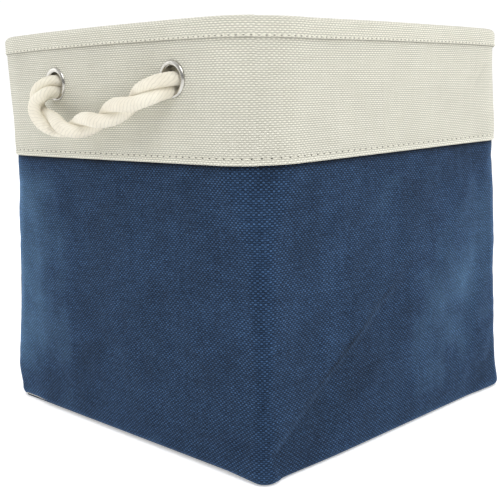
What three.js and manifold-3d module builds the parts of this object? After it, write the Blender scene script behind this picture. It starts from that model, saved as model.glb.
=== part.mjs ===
// Square fabric storage bin with a cream upper band, a wired rim, four eyelets and two rope handles.
// Millimetres, +Z up. The bin stands on z = 0 and its front, with the first handle, faces -Y.
import * as THREE from "three";
import { mergeVertices } from "three/addons/utils/BufferGeometryUtils.js";
import Module from "manifold-3d";

const wasm = await Module();
wasm.setup();

// Driving sizes of the bin.
const HEIGHT = 280;
const WALL_HALF = 138.8; // from the centre to the outside of a navy wall
const BAND_BOTTOM = 194; // lower edge of the cream band
const RIM_FLARE = 2.1; // how far the band leans out between its lower edge and the rim
const BOTTOM_ROLL = 5; // radius of the soft fold along the floor
const CORNER_AT_FLOOR = 10; // plan radius of the corners, growing towards the rim
const CORNER_AT_BAND = 34.5;
const CORNER_AT_RIM = 41;
const GAP = 0.3; // between pieces that touch

// Layers, as distances out from the navy wall's outer face.
const WALL = { outer: 0, inner: -1.8 };
const LINING = { outer: -2.1, inner: -2.9 };
const BAND = { outer: 1.3, inner: 0.3 };
const FACING = { outer: -3.7, inner: -4.5 };
const BINDING_OUTER_LEG = { outer: 2.6, inner: 1.6 };
const BINDING_INNER_LEG = { outer: -4.8, inner: -5.8 };

// Heights of the cut edges.
const WALL_BOTTOM = 0.5;
const WALL_TOP = 206;
const LINING_BOTTOM = 1.9;
const LINING_TOP = 203;
const FACING_BOTTOM = 198;
const BAND_TOP = 278.4;
const BINDING_BOTTOM = 267.3;
const BINDING_THICKNESS = 1.3;
const BINDING_BEVEL = 0.8;

// Rim wire, inside the hem.
const WIRE_RADIUS = 1.05;
const WIRE_OFFSET = -1.7;
const WIRE_Z = 276.4;
const WIRE_SIDES = 6;
const WIRE_STEPS = 64;
const SLEEVE = { inner: 1.35, outer: 1.7, length: 20, segments: 16 };
const WIRE_END_GAP = 1;

// Eyelets, two in the front wall and two in the back.
const EYELET_SPAN = 124; // between the two eyelets of a wall
const HANDLE_X = 7.3; // how far the front handle sits right of the wall's middle, and the back one left
const EYELETS_X = [HANDLE_X - EYELET_SPAN / 2, HANDLE_X + EYELET_SPAN / 2];
const EYELET_Z = 245;
const EYELET_HOLE = 7.5;
const EYELET_BARREL = 8.1;
const EYELET_FLANGE = 11.6;
const EYELET_CROWN = 1.5;
const EYELET_DEPTH = 7.4;
const EYELET_SEGMENTS = 20;
const CLOTH_HOLE = 8.4;
const CLOTH_HOLE_SEGMENTS = 24;
const WASHER = { inner: 8.4, outer: 11.5, front: 6.1, thickness: 0.8 };

// Rope handles.
const ROPE_RADIUS = 7;
const ROPE_SIDES = 10;
const ROPE_STEPS = 28;
const PIVOT_Y = -151; // the handle turns about a line along X through this y and the eyelets' height
const ROPE_END_SEGMENTS = 12;
const ELBOW_RADIUS = 7.1; // rounded end of the rope where the handle turns
const ELBOW_ROOM = 9.8; // keeps the handle off the rope end all the way up
const ROOM_SEGMENTS = 16;
const KNOT = { y: -121, halfWidth: 12.5, halfDepth: 10.8, tailLength: 23, tailRadius: 6.4 };

// The route of the front handle from the left pivot to the right one.
const HANDLE_ROUTE = [
  [EYELETS_X[0], PIVOT_Y, EYELET_Z],
  [-55.6, -151.3, 239.6],
  [-57.4, -152.3, 233.8],
  [-57.2, -153.5, 228.2],
  [-53.4, -154.6, 223.2],
  [-46.0, -155.2, 219.2],
  [-36.0, -155.4, 216.0],
  [-23.0, -155.4, 214.6],
  [-8.0, -155.0, 216.2],
  [8.0, -155.0, 220.0],
  [24.0, -155.0, 224.2],
  [40.0, -154.6, 229.4],
  [52.5, -153.6, 234.4],
  [62.3, -152.2, 239.4],
  [EYELETS_X[1], PIVOT_Y, EYELET_Z],
];

// Base and the loose board on it.
const BASE_THICKNESS = 1.6;
const BASE_HALF = 133.8;
const BASE_CORNER = 5;
const BASE_LINING = { bottom: 1.9, top: 2.6, half: 134.4, corner: 6 };
const BOARD = { bottom: 2.9, top: 5.5, half: 132.2, corner: 30 };
const COVER = { bottom: 3.1, top: 6.6, half: 133.3, thickness: 0.8 };

const COLOURS = {
  navy: new THREE.MeshStandardMaterial({ color: 0x34486a, roughness: 0.9, metalness: 0 }),
  cream: new THREE.MeshStandardMaterial({ color: 0xddd9c8, roughness: 0.88, metalness: 0 }),
  lining: new THREE.MeshStandardMaterial({ color: 0xd9d6cc, roughness: 0.8, metalness: 0 }),
  rope: new THREE.MeshStandardMaterial({ color: 0xece3cf, roughness: 0.95, metalness: 0 }),
  nickel: new THREE.MeshStandardMaterial({ color: 0xc9c8c4, roughness: 0.2, metalness: 1 }),
  steel: new THREE.MeshStandardMaterial({ color: 0x9a9a98, roughness: 0.4, metalness: 1 }),
  board: new THREE.MeshStandardMaterial({ color: 0x9b7f5c, roughness: 0.95, metalness: 0 }),
};

const lerp = THREE.MathUtils.lerp;
const clamp = THREE.MathUtils.clamp;

// How far the wall is drawn in by the soft fold at the floor.
function rollInset(z) {
  const below = Math.max(BOTTOM_ROLL - z, 0);
  return BOTTOM_ROLL - Math.sqrt(BOTTOM_ROLL ** 2 - below ** 2);
}

// The rounded square that the bin follows at height z, `offset` out from the navy wall's face.
function sectionAt(z, offset) {
  const up = clamp((z - BAND_BOTTOM) / (HEIGHT - BAND_BOTTOM), 0, 1);
  const low = clamp(z / BAND_BOTTOM, 0, 1);
  const corner = lerp(lerp(CORNER_AT_FLOOR, CORNER_AT_BAND, low), CORNER_AT_RIM, up);
  const drawnIn = rollInset(z);
  return {
    half: WALL_HALF + RIM_FLARE * up - drawnIn + offset,
    corner: Math.max(corner - drawnIn + offset, 1),
  };
}

// A point on one side of a rounded square. Along runs 0 to 1 from corner middle to corner middle.
const CORNER_SHARE = 0.25; // part of a side's run that each half corner takes
const SEGMENTS_PER_SIDE = 12;

function pointOnSide(side, along, { half, corner }) {
  const flat = half - corner;
  let across = lerp(-flat, flat, (along - CORNER_SHARE) / (1 - 2 * CORNER_SHARE));
  let out = half;
  const intoCorner = Math.max(CORNER_SHARE - along, along - 1 + CORNER_SHARE) / CORNER_SHARE;
  if (intoCorner > 0) {
    const angle = intoCorner * (Math.PI / 4);
    across = Math.sign(along - 0.5) * (flat + corner * Math.sin(angle));
    out = flat + corner * Math.cos(angle);
  }
  return new THREE.Vector2(across, -out).rotateAround(new THREE.Vector2(), (side * Math.PI) / 2);
}

function withoutExtras(geometry) {
  const bare = geometry.clone();
  bare.deleteAttribute("normal");
  bare.deleteAttribute("uv");
  return mergeVertices(bare, 1e-4);
}

// Moves every vertex of a closed geometry to place(x, y, z), which keeps it closed.
function warped(geometry, place) {
  const bare = withoutExtras(geometry);
  const positions = bare.getAttribute("position");
  for (let i = 0; i < positions.count; i++) {
    positions.setXYZ(i, ...place(positions.getX(i), positions.getY(i), positions.getZ(i)));
  }
  bare.computeVertexNormals();
  return bare;
}

// One side of the bin as a curved panel: layer gives its faces, heights its rows from the bottom up.
function sidePanel(side, layer, heights) {
  const seamShare = 0.005; // leaves the next panel its gap along the corner seam
  const rows = heights.length - 1;
  const box = new THREE.BoxGeometry(1, 1, 1, SEGMENTS_PER_SIDE, 1, rows);
  return warped(box, (x, y, z) => {
    const height = heights[Math.round((z + 0.5) * rows)];
    const along = lerp(seamShare, 1 - seamShare, x + 0.5);
    const section = sectionAt(height, y < 0 ? layer.outer : layer.inner);
    const point = pointOnSide(side, along, section);
    return [point.x, point.y, height];
  });
}

// A band that goes once round the bin. Its profile is a closed list of [offset, z].
function loopBand(profile) {
  const reach = 100; // turns offsets into lathe radii above zero
  const around = 4 * SEGMENTS_PER_SIDE;
  const closed = [...profile, profile[0]].map(([offset, z]) => new THREE.Vector2(reach + offset, z));
  const lathe = new THREE.LatheGeometry(closed, around);
  return warped(lathe, (x, y, z) => {
    const turn = Math.round((Math.atan2(x, z) / (2 * Math.PI)) * around + around) % around;
    const section = sectionAt(y, Math.hypot(x, z) - reach);
    const side = Math.floor(turn / SEGMENTS_PER_SIDE);
    const along = (turn % SEGMENTS_PER_SIDE) / SEGMENTS_PER_SIDE;
    const point = pointOnSide(side, along, section);
    return [point.x, point.y, y];
  });
}

// The closed profile of a layer between two heights, outer face first.
function layerProfile(layer, heights) {
  const outer = heights.map((z) => [layer.outer, z]);
  const inner = [...heights].reverse().map((z) => [layer.inner, z]);
  return [...outer, ...inner];
}

// A closed geometry as a manifold solid, and back.
function solidOf(geometry) {
  const merged = withoutExtras(geometry);
  const mesh = new wasm.Mesh({
    numProp: 3,
    vertProperties: new Float32Array(merged.getAttribute("position").array),
    triVerts: new Uint32Array(merged.index.array),
  });
  return new wasm.Manifold(mesh);
}

function geometryOf(solid) {
  const mesh = solid.getMesh();
  const geometry = new THREE.BufferGeometry();
  geometry.setAttribute("position", new THREE.BufferAttribute(new Float32Array(mesh.vertProperties), 3));
  geometry.setIndex(new THREE.BufferAttribute(new Uint32Array(mesh.triVerts), 1));
  const flat = geometry.toNonIndexed();
  flat.computeVertexNormals();
  return flat;
}

function minus(geometry, cutters) {
  return geometryOf(cutters.reduce((solid, cutter) => solid.subtract(solidOf(cutter)), solidOf(geometry)));
}

function plus(geometry, others) {
  return geometryOf(others.reduce((solid, other) => solid.add(solidOf(other)), solidOf(geometry)));
}

function named(name, geometry, material) {
  const mesh = new THREE.Mesh(geometry, material);
  mesh.name = name;
  return mesh;
}

function roundedSquare(half, corner) {
  const shape = new THREE.Shape();
  const flat = half - corner;
  shape.absarc(flat, flat, corner, 0, Math.PI / 2);
  shape.absarc(-flat, flat, corner, Math.PI / 2, Math.PI);
  shape.absarc(-flat, -flat, corner, Math.PI, 1.5 * Math.PI);
  shape.absarc(flat, -flat, corner, 1.5 * Math.PI, 2 * Math.PI);
  return shape;
}

function plate(half, corner, bottom, top) {
  const options = { depth: top - bottom, bevelEnabled: false, curveSegments: 6 };
  return new THREE.ExtrudeGeometry(roundedSquare(half, corner), options).translate(0, 0, bottom);
}

function circle(radius, sides) {
  const shape = new THREE.Shape();
  const points = Array.from({ length: sides }, (_, i) => {
    const angle = (i / sides) * 2 * Math.PI;
    return new THREE.Vector2(radius * Math.cos(angle), radius * Math.sin(angle));
  });
  return shape.setFromPoints(points);
}

function tubeAlong(points, radius, sides, steps) {
  const path = new THREE.CatmullRomCurve3(points, false, "centripetal");
  return new THREE.ExtrudeGeometry(circle(radius, sides), { steps, bevelEnabled: false, extrudePath: path });
}

// A round bar or cutter along Y between two y values.
function barAlongY(radius, from, to, x, z, sides) {
  const bar = new THREE.CylinderGeometry(radius, radius, to - from, sides);
  return bar.translate(0, (from + to) / 2, 0).translate(x, 0, z);
}

// Navy walls and base, with the lining inside them.
const WALL_ROWS = [WALL_BOTTOM, 1.2, 2.4, BOTTOM_ROLL, 70, 135, BAND_BOTTOM, WALL_TOP];
const LINING_ROWS = [LINING_BOTTOM, 3, BOTTOM_ROLL, 100, BAND_BOTTOM, LINING_TOP];

function lowerBin() {
  const group = new THREE.Group();
  const basePanel = plate(BASE_HALF, BASE_CORNER, 0, BASE_THICKNESS);
  const baseLining = plate(BASE_LINING.half, BASE_LINING.corner, BASE_LINING.bottom, BASE_LINING.top);
  group.add(named("base_panel", basePanel, COLOURS.navy));
  group.add(named("base_lining", baseLining, COLOURS.lining));
  ["front", "right", "back", "left"].forEach((name, side) => {
    group.add(named(name + "_wall_panel", sidePanel(side, WALL, WALL_ROWS), COLOURS.navy));
  });
  group.add(named("wall_lining", loopBand(layerProfile(LINING, LINING_ROWS)), COLOURS.lining));
  return group;
}

// Holes that the eyelets need through the front and back of a loop.
function eyeletHoles() {
  const reach = WALL_HALF + 20;
  const depth = 40;
  return EYELETS_X.flatMap((x) => [
    barAlongY(CLOTH_HOLE, -reach, -reach + depth, x, EYELET_Z, CLOTH_HOLE_SEGMENTS),
    barAlongY(CLOTH_HOLE, reach - depth, reach, -x, EYELET_Z, CLOTH_HOLE_SEGMENTS),
  ]);
}

// The binding is an upside-down U over the band, the wire and the facing.
function bindingProfile() {
  const ceiling = HEIGHT - BINDING_THICKNESS;
  return [
    [BINDING_OUTER_LEG.outer, BINDING_BOTTOM],
    [BINDING_OUTER_LEG.outer, HEIGHT - BINDING_BEVEL],
    [BINDING_OUTER_LEG.outer - BINDING_BEVEL, HEIGHT],
    [BINDING_INNER_LEG.inner + BINDING_BEVEL, HEIGHT],
    [BINDING_INNER_LEG.inner, HEIGHT - BINDING_BEVEL],
    [BINDING_INNER_LEG.inner, BINDING_BOTTOM],
    [BINDING_INNER_LEG.outer, BINDING_BOTTOM],
    [BINDING_INNER_LEG.outer, ceiling],
    [BINDING_OUTER_LEG.inner, ceiling],
    [BINDING_OUTER_LEG.inner, BINDING_BOTTOM],
  ];
}

// The wire runs once round the rim from the middle of the back, and its ends meet in a sleeve.
function rimWire() {
  const section = sectionAt(WIRE_Z, WIRE_OFFSET);
  const backMiddle = 2.5; // counted in sides from the start of the front
  const sidesAround = 4;
  const count = 80;
  const endShare = (WIRE_END_GAP / 2) / (2 * section.half);
  const points = Array.from({ length: count + 1 }, (_, i) => {
    const run = backMiddle + lerp(endShare, sidesAround - endShare, i / count);
    const point = pointOnSide(Math.floor(run) % sidesAround, run % 1, section);
    return new THREE.Vector3(point.x, point.y, WIRE_Z);
  });
  return tubeAlong(points, WIRE_RADIUS, WIRE_SIDES, WIRE_STEPS);
}

function wireSleeve() {
  const { inner, outer, length, segments } = SLEEVE;
  const profile = [
    [inner, -length / 2],
    [outer, -length / 2],
    [outer, length / 2],
    [inner, length / 2],
    [inner, -length / 2],
  ].map(([r, along]) => new THREE.Vector2(r, along));
  const sleeve = new THREE.LatheGeometry(profile, segments).rotateZ(Math.PI / 2);
  return sleeve.translate(0, sectionAt(WIRE_Z, WIRE_OFFSET).half, WIRE_Z);
}

function upperBin() {
  const group = new THREE.Group();
  const bandRows = [BAND_BOTTOM, EYELET_Z, BAND_TOP];
  const facingRows = [FACING_BOTTOM, EYELET_Z, BAND_TOP];
  const band = minus(loopBand(layerProfile(BAND, bandRows)), eyeletHoles());
  const facing = minus(loopBand(layerProfile(FACING, facingRows)), eyeletHoles());
  group.add(named("upper_band", band, COLOURS.cream));
  group.add(named("inner_facing", facing, COLOURS.cream));
  group.add(named("rim_binding", loopBand(bindingProfile()), COLOURS.cream));
  group.add(named("rim_wire", rimWire(), COLOURS.steel));
  group.add(named("rim_wire_sleeve", wireSleeve(), COLOURS.steel));
  return group;
}

// An eyelet about the Y axis, its crown towards -Y and its back on the band's face at y = 0.
function eyeletGeometry() {
  const crownSteps = 6;
  const middle = (EYELET_HOLE + EYELET_FLANGE) / 2;
  const crown = Array.from({ length: crownSteps + 1 }, (_, i) => {
    const angle = (i / crownSteps) * Math.PI;
    const radius = middle + (EYELET_FLANGE - middle) * Math.cos(angle);
    return new THREE.Vector2(radius, GAP + EYELET_CROWN * Math.sin(angle));
  });
  const barrel = [
    new THREE.Vector2(EYELET_HOLE, -EYELET_DEPTH),
    new THREE.Vector2(EYELET_BARREL, -EYELET_DEPTH),
    new THREE.Vector2(EYELET_BARREL, GAP),
  ];
  return new THREE.LatheGeometry([...crown, ...barrel, crown[0]], EYELET_SEGMENTS).rotateX(Math.PI);
}

function washerGeometry() {
  const { inner, outer, front, thickness } = WASHER;
  const profile = [
    [inner, -front - thickness],
    [outer, -front - thickness],
    [outer, -front],
    [inner, -front],
    [inner, -front - thickness],
  ].map(([r, along]) => new THREE.Vector2(r, along));
  return new THREE.LatheGeometry(profile, EYELET_SEGMENTS).rotateX(Math.PI);
}

function ball(radius, segments) {
  return new THREE.SphereGeometry(radius, segments, Math.round(segments * 0.75));
}

// The rope through an eyelet: a knot inside the bin with its tail, and a rounded elbow outside.
function ropeEnd(x) {
  const knot = ball(1, ROPE_END_SEGMENTS).scale(KNOT.halfWidth, KNOT.halfDepth, KNOT.halfWidth);
  const stub = barAlongY(ROPE_RADIUS, PIVOT_Y, KNOT.y, x, EYELET_Z, ROPE_END_SEGMENTS);
  const elbow = ball(ELBOW_RADIUS, ROPE_END_SEGMENTS).translate(x, PIVOT_Y, EYELET_Z);
  const tail = new THREE.CylinderGeometry(KNOT.tailRadius, KNOT.tailRadius, KNOT.tailLength, ROPE_END_SEGMENTS);
  tail.rotateX(Math.PI / 2).translate(x, KNOT.y, EYELET_Z - KNOT.tailLength / 2);
  return plus(knot.translate(x, KNOT.y, EYELET_Z), [stub, elbow, tail]);
}

function handleLoop() {
  const route = HANDLE_ROUTE.map(([x, y, z]) => new THREE.Vector3(x, y, z));
  const rope = tubeAlong(route, ROPE_RADIUS, ROPE_SIDES, ROPE_STEPS);
  const rooms = EYELETS_X.map((x) => ball(ELBOW_ROOM, ROOM_SEGMENTS).translate(x, PIVOT_Y, EYELET_Z));
  return minus(rope, rooms);
}

// Eyelets, rope ends and handle of one wall, as they stand on the front.
function handleSide(wallName, sideNames) {
  const group = new THREE.Group();
  const face = sectionAt(EYELET_Z, BAND.outer).half;
  const lean = Math.atan(RIM_FLARE / (HEIGHT - BAND_BOTTOM));
  EYELETS_X.forEach((x, i) => {
    const prefix = wallName + "_" + sideNames[i];
    const fittings = new THREE.Group();
    fittings.position.set(x, -face, EYELET_Z);
    fittings.rotation.x = lean;
    fittings.add(named(prefix + "_eyelet", eyeletGeometry(), COLOURS.nickel));
    fittings.add(named(prefix + "_eyelet_washer", washerGeometry(), COLOURS.nickel));
    group.add(fittings);
    group.add(named(prefix + "_rope_knot", ropeEnd(x), COLOURS.rope));
  });
  group.add(named(wallName + "_handle", handleLoop(), COLOURS.rope));
  return group;
}

// Stiff board wrapped in cloth that lies loose on the bottom.
function baseBoard() {
  const group = new THREE.Group();
  const outside = plate(COVER.half, BOARD.corner, COVER.bottom, COVER.top);
  const room = plate(COVER.half - COVER.thickness, BOARD.corner, COVER.bottom - 1, COVER.top - COVER.thickness);
  group.add(named("base_board_core", plate(BOARD.half, BOARD.corner, BOARD.bottom, BOARD.top), COLOURS.board));
  group.add(named("base_board_cover", minus(outside, [room]), COLOURS.lining));
  return group;
}

const bin = new THREE.Group();
bin.add(lowerBin());
bin.add(upperBin());
bin.add(handleSide("front", ["left", "right"]));
const backHandle = handleSide("back", ["right", "left"]);
backHandle.rotation.z = Math.PI;
bin.add(backHandle);
bin.add(baseBoard());

export default bin;
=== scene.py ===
"""Looks of a square fabric storage bin: navy walls, a cream upper band and two cotton rope handles.

Sizes are written in millimetres and turned into metres where a mesh, a curve or a light is made.
"""

import math

import bpy
import numpy as np
from mathutils import Matrix


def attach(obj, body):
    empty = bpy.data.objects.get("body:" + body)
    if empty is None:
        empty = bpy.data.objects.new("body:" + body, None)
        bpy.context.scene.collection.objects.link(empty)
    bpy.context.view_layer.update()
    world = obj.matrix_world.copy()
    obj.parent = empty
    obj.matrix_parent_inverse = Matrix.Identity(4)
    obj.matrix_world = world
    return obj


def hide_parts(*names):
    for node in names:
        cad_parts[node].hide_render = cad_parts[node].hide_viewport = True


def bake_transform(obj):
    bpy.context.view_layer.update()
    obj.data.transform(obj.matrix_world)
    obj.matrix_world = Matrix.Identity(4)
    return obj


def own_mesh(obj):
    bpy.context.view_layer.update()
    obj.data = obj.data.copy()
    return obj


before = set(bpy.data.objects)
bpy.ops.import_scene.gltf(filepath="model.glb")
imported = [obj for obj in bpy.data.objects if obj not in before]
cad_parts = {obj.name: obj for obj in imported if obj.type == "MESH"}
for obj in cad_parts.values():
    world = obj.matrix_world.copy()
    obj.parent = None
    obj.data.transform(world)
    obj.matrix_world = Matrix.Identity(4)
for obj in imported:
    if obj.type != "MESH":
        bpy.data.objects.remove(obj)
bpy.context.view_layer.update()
MM = 0.001
UV_NAME = "cloth"
# The tone attribute carries painted shade and painted highlights on the cloth, with some random clouds.
TONE_NAME = "tone"  # how much lighter or darker the cloth is than its plain colour
FRONT, RIGHT, BACK, LEFT = range(4)

# Driving sizes, the same as the CAD part's.
HEIGHT = 280
WALL_HALF = 138.8
BAND_BOTTOM = 194
RIM_FLARE = 2.1
BOTTOM_ROLL = 5
CORNER_AT_FLOOR = 10
CORNER_AT_BAND = 34.5
CORNER_AT_RIM = 41
CORNER_SHARE = 0.25  # of a side's columns that each of its two corners takes
NEAR_CORNER_FOLD = 0.55  # of the corner radius that the fold takes away
BAND_OFFSET = 1.3
FACING_OFFSET = -4.5
LINING_OFFSET = -2.9
BINDING_BOTTOM = 267.3
BINDING_OUTER = 2.75  # offsets of its faces outside and inside the bin
BINDING_INNER = -5.9
EYELETS_X = (-54.7, 69.3)
EYELET_Z = 245
EYELET_HOLE = 9.9  # radius of the hole in the cloth
KNOT_Y = -121

# Cloth, thread and rope.
CREAM_PITCH = (1.43, 1.33)
NAVY_PITCH = (1.56, 1.31)
LINING_PITCH = (0.55, 0.55)
SLUB_RATE = 45  # thick and thin places to a metre of thread
YARN_UV = 1.5  # width of a rope's yarn on its UV map
BAND_STITCH_PITCH = 5.9
BAND_STITCH_Z = 197.8
HEM_STITCH_PITCH = 4.4
HEM_STITCH_Z = 268.6
STITCH_SHARE = 0.74  # of the pitch that is thread
STITCH_RADIUS = 0.36
ROPE_LAY = 66

# Camera: place in metres, angles in degrees, lens in mm.
CAMERA_PLACE = (0.4981, -0.5136, 0.2333)
CAMERA_AZIMUTH = 44.51
CAMERA_PITCH = -9.465
CAMERA_ROLL = -1.161
CAMERA_LENS = 66

# Surround: how bright it is behind the bin and on the camera's side.
TOWARDS_CAMERA = (0.69, -0.72, 0.0)
SURROUND_FAR = 1.06
SURROUND_NEAR = 0.36
FLOOR_SIZE = 40
FLOOR_GLOW = 0.35


# ---------------------------------------------------------------- camera and light


def placed(place, right, up, back):
    """The matrix of an object at a place, from the directions of its own three axes."""
    turn = Matrix([[right[i], up[i], back[i]] for i in range(3)]).to_4x4()
    return Matrix.Translation(place) @ turn


def add_camera():
    """A camera at the bin's near corner, a little above the band's lower edge."""
    azimuth, pitch, roll = (math.radians(a) for a in (CAMERA_AZIMUTH, CAMERA_PITCH, CAMERA_ROLL))
    forward = np.array(
        [
            -math.sin(azimuth) * math.cos(pitch),
            math.cos(azimuth) * math.cos(pitch),
            math.sin(pitch),
        ]
    )
    level = np.cross(forward, [0, 0, 1])
    level /= np.linalg.norm(level)
    rise = np.cross(level, forward)
    right = math.cos(roll) * level + math.sin(roll) * rise
    up = math.cos(roll) * rise - math.sin(roll) * level
    data = bpy.data.cameras.new("camera")
    data.lens = CAMERA_LENS
    data.sensor_width = 36
    data.clip_start = 0.05
    camera = bpy.data.objects.new("camera", data)
    camera.matrix_world = placed(CAMERA_PLACE, right, up, -forward)
    bpy.context.scene.collection.objects.link(camera)
    bpy.context.scene.camera = camera


def add_world():
    """A white surround, dimmer on the camera's side so that the walls darken towards the near corner."""
    world = bpy.data.worlds.new("studio")
    world.use_nodes = True
    tree = world.node_tree
    tree.nodes.clear()
    direction = tree.nodes.new("ShaderNodeTexCoord")
    facing = tree.nodes.new("ShaderNodeVectorMath")
    facing.operation = "DOT_PRODUCT"
    facing.inputs[1].default_value = TOWARDS_CAMERA
    level = tree.nodes.new("ShaderNodeMapRange")
    level.interpolation_type = "SMOOTHSTEP"
    level.inputs["From Min"].default_value = -0.3
    level.inputs["From Max"].default_value = 0.95
    level.inputs["To Min"].default_value = SURROUND_FAR
    level.inputs["To Max"].default_value = SURROUND_NEAR
    background = tree.nodes.new("ShaderNodeBackground")
    background.inputs["Color"].default_value = (1, 1, 1, 1)
    output = tree.nodes.new("ShaderNodeOutputWorld")
    tree.links.new(direction.outputs["Generated"], facing.inputs[0])
    tree.links.new(facing.outputs["Value"], level.inputs["Value"])
    tree.links.new(level.outputs["Result"], background.inputs["Strength"])
    tree.links.new(background.outputs[0], output.inputs[0])
    bpy.context.scene.world = world


def add_light(name, place, target, size, power):
    """A square light that faces its target. Sizes in metres, power in watts."""
    data = bpy.data.lights.new(name, "AREA")
    data.size = size
    data.energy = power
    light = bpy.data.objects.new(name, data)
    back = np.array(place, float) - np.array(target, float)
    back /= np.linalg.norm(back)
    right = np.cross([0, 0, 1], back)
    right /= np.linalg.norm(right)
    light.matrix_world = placed(place, right, np.cross(back, right), back)
    bpy.context.scene.collection.objects.link(light)


def set_view():
    view = bpy.context.scene.view_settings
    view.view_transform = "Standard"
    view.look = "None"
    view.exposure = 0
    view.gamma = 1


# ---------------------------------------------------------------- material nodes


class Surface:
    """A material being built: short calls that add nodes and return their output sockets."""

    def __init__(self, name, uv=True):
        self.material = bpy.data.materials.new(name)
        self.material.use_nodes = True
        self.tree = self.material.node_tree
        self.tree.nodes.clear()
        self.shader = self.add("ShaderNodeBsdfPrincipled")
        output = self.add("ShaderNodeOutputMaterial")
        self.tree.links.new(self.shader.outputs[0], output.inputs[0])
        if uv:
            uv_map = self.add("ShaderNodeUVMap")
            uv_map.uv_map = UV_NAME
            self.uv = uv_map.outputs[0]
            tone = self.add("ShaderNodeAttribute")
            tone.attribute_name = TONE_NAME
            self.tone = tone.outputs["Fac"]
        place = self.add("ShaderNodeTexCoord")
        self.place = place.outputs["Object"]

    def add(self, kind):
        return self.tree.nodes.new(kind)

    def feed(self, socket, value):
        if isinstance(value, bpy.types.NodeSocket):
            self.tree.links.new(value, socket)
        else:
            socket.default_value = value

    def times(self, *values):
        product = values[0]
        for value in values[1:]:
            product = self.math("MULTIPLY", product, value)
        return product

    def less(self, value):
        """1 minus the value."""
        return self.math("SUBTRACT", 1, value)

    def math(self, operation, *values):
        node = self.add("ShaderNodeMath")
        node.operation = operation
        for socket, value in zip(node.inputs, values):
            self.feed(socket, value)
        return node.outputs[0]

    def split(self, vector):
        node = self.add("ShaderNodeSeparateXYZ")
        self.feed(node.inputs[0], vector)
        return node.outputs[0], node.outputs[1], node.outputs[2]

    def join(self, x, y, z=0.0):
        node = self.add("ShaderNodeCombineXYZ")
        for socket, value in zip(node.inputs, (x, y, z)):
            self.feed(socket, value)
        return node.outputs[0]

    def scaled(self, vector, factors):
        node = self.add("ShaderNodeVectorMath")
        node.operation = "MULTIPLY"
        self.feed(node.inputs[0], vector)
        node.inputs[1].default_value = factors
        return node.outputs[0]

    def noise(self, vector, scale, detail=2.0, rough=0.5):
        node = self.add("ShaderNodeTexNoise")
        self.feed(node.inputs["Vector"], vector)
        node.inputs["Scale"].default_value = scale
        node.inputs["Detail"].default_value = detail
        node.inputs["Roughness"].default_value = rough
        return node.outputs[0]

    def random(self, vector):
        node = self.add("ShaderNodeTexWhiteNoise")
        node.noise_dimensions = "3D"
        self.feed(node.inputs["Vector"], vector)
        return node.outputs[0]

    def range(self, value, low, high, to_low, to_high, smooth=False):
        node = self.add("ShaderNodeMapRange")
        if smooth:
            node.interpolation_type = "SMOOTHSTEP"
        for socket, number in zip(node.inputs, (value, low, high, to_low, to_high)):
            self.feed(socket, number)
        return node.outputs[0]

    def blend(self, factor, a, b):
        node = self.add("ShaderNodeMix")
        node.data_type = "RGBA"
        self.feed(node.inputs[0], factor)
        self.feed(node.inputs[6], a)
        self.feed(node.inputs[7], b)
        return node.outputs[2]

    def multiply(self, colour, factor):
        """The colour times a grey factor."""
        node = self.add("ShaderNodeMix")
        node.data_type = "RGBA"
        node.blend_type = "MULTIPLY"
        node.inputs[0].default_value = 1
        self.feed(node.inputs[6], colour)
        self.feed(node.inputs[7], self.join(factor, factor, factor))
        return node.outputs[2]

    def painted_edge_sheen(self, low, high, most):
        """Painted sheen: a factor of 1 where the surface is seen square on, growing to `most` where it is
        seen edge on.
        """
        layer = self.add("ShaderNodeLayerWeight")
        layer.inputs["Blend"].default_value = 0.5
        return self.range(layer.outputs["Facing"], low, high, 1, most, smooth=True)

    def bump(self, height, distance, strength=1.0, under=None):
        node = self.add("ShaderNodeBump")
        node.inputs["Strength"].default_value = strength
        node.inputs["Distance"].default_value = distance * MM
        self.feed(node.inputs["Height"], height)
        if under is not None:
            self.feed(node.inputs["Normal"], under)
        return node.outputs[0]

    def finish(self, colour, roughness, normal=None, **constants):
        self.feed(self.shader.inputs["Base Color"], colour)
        self.feed(self.shader.inputs["Roughness"], roughness)
        if normal is not None:
            self.feed(self.shader.inputs["Normal"], normal)
        for label, value in constants.items():
            self.shader.inputs[label.replace("_", " ")].default_value = value
        return self.material


def linear(red, green, blue):
    """An sRGB colour of 0 to 255 as linear RGBA."""
    shares = [c / 255 for c in (red, green, blue)]
    return tuple(s / 12.92 if s <= 0.04045 else ((s + 0.055) / 1.055) ** 2.4 for s in shares) + (1,)


def weave(s, pitch, wander):
    """A plain weave on the cloth's UV map.

    It gives the height, the gaps beside warp and weft, whether the weft is on top, and the thread's numbers.
    """
    u, v, _ = s.split(s.uv)
    drift = s.noise(s.uv, 160, 2)
    shift = s.times(s.math("SUBTRACT", drift, 0.5), wander)
    x = s.math("MULTIPLY_ADD", u, 1 / (pitch[0] * MM), shift)
    y = s.math("MULTIPLY_ADD", v, 1 / (pitch[1] * MM), shift)
    column, row = s.math("FLOOR", x), s.math("FLOOR", y)
    turn = s.math("FLOORED_MODULO", s.math("ADD", column, row), 2)
    off_x = s.math("ABSOLUTE", s.math("MULTIPLY_ADD", s.math("FRACT", x), 2, -1))
    off_y = s.math("ABSOLUTE", s.math("MULTIPLY_ADD", s.math("FRACT", y), 2, -1))
    step = s.math("SUBTRACT", off_y, off_x)
    across = s.math("MULTIPLY_ADD", step, turn, off_x)
    along = s.math("MULTIPLY_ADD", s.times(step, -1), turn, off_y)
    round_across = s.less(s.math("POWER", across, 2.6))
    round_along = s.less(s.times(s.math("POWER", along, 2.2), 0.6))
    gaps = (s.math("POWER", off_x, 3), s.math("POWER", off_y, 2.2))
    return s.times(round_across, round_along), gaps, turn, (column, row)


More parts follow.
